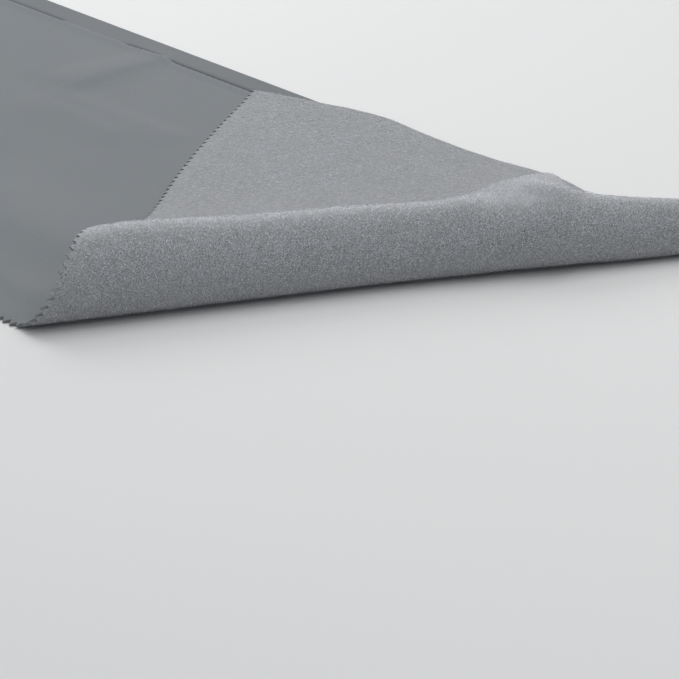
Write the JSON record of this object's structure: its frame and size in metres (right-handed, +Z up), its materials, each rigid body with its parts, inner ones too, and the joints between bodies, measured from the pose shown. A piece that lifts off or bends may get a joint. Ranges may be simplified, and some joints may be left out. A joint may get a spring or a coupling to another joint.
{
  "type": "piano keyboard cover",
  "caption": "Long flat cloth cover for a piano keyboard, with a pinked front edge and a front corner turned back over it in a fat soft roll.",
  "frame": {"origin": "under the middle of the laid cover's box, on the surface that it rests on", "axes": "+X along the cover towards the turned-back end, +Y from its front edge to its back edge, +Z up"},
  "size_m": [1.3132, 0.3182, 0.0469],
  "materials": {
    "felt": "mid grey felted cloth, suede-smooth on its upper face and fuzzy on its underside"
  },
  "bodies": {
    "root": {"cover_sheet": "felt"}
  },
  "joints": []
}
